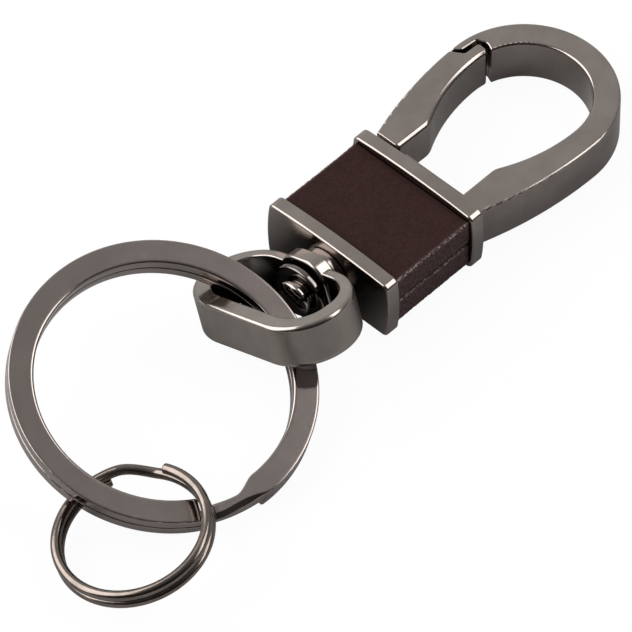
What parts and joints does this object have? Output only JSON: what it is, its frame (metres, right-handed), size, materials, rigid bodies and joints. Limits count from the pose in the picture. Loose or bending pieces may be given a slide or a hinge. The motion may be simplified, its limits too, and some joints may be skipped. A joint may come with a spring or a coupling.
{
  "type": "split key ring fob",
  "caption": "Key fob: a sprung snap hook and leather grip, with a swivel link, a flat split ring for keys and a smaller round-wire split ring.",
  "frame": {"origin": "middle of the swivel bar's flat back face, on the middle plane of the hook", "axes": "+X along the swivel's axis towards the hook, +Y towards the gate, +Z out of the fob's front face"},
  "size_m": [0.0796, 0.0316, 0.012],
  "materials": {
    "plated_cast": "polished black nickel over a zinc casting",
    "plated_steel": "polished black nickel over spring steel",
    "leather": "matt, dark brown, with painted edges"
  },
  "bodies": {
    "fob_body": {"hook_body": "plated_cast", "hook_bar": "plated_cast", "swivel_bar": "plated_cast", "leather_front": "leather", "leather_back": "leather", "swivel_post": "plated_steel", "outer_washer": "plated_steel", "inner_washer": "plated_steel", "gate_pin": "plated_steel", "gate_spring": "plated_steel"},
    "gate": {"gate": "plated_cast"},
    "link": {"swivel_link": "plated_cast"},
    "large_ring": {"large_split_ring": "plated_steel"},
    "small_ring": {"small_split_ring": "plated_steel"}
  },
  "joints": [
    {"name": "gate_pivot", "type": "hinge", "parent": "fob_body", "child": "gate", "pos_m": [0.0162, 0.0063, 0.00365], "axis": [0, 0, -1], "range_deg": [0, 25], "stiffness_Nm_per_rad": 0.006, "springref_deg": -22.92, "deforming": ["gate_spring"]},
    {"name": "swivel", "type": "hinge", "parent": "fob_body", "child": "link", "pos_m": [0, 0, 0.00365], "axis": [1, 0, 0], "continuous": true},
    {"name": "ring_swing", "type": "hinge", "parent": "link", "child": "large_ring", "pos_m": [-0.00935, -0.00012, 0.00291], "axis": [0.1022, 0.955, 0.2786], "range_deg": [0, 90]},
    {"name": "small_ring_turn", "type": "hinge", "parent": "large_ring", "child": "small_ring", "pos_m": [-0.02181, 0.00185, 0.00326], "axis": [-0.0605, -0.2736, 0.9599], "range_deg": [-120, 60]}
  ]
}
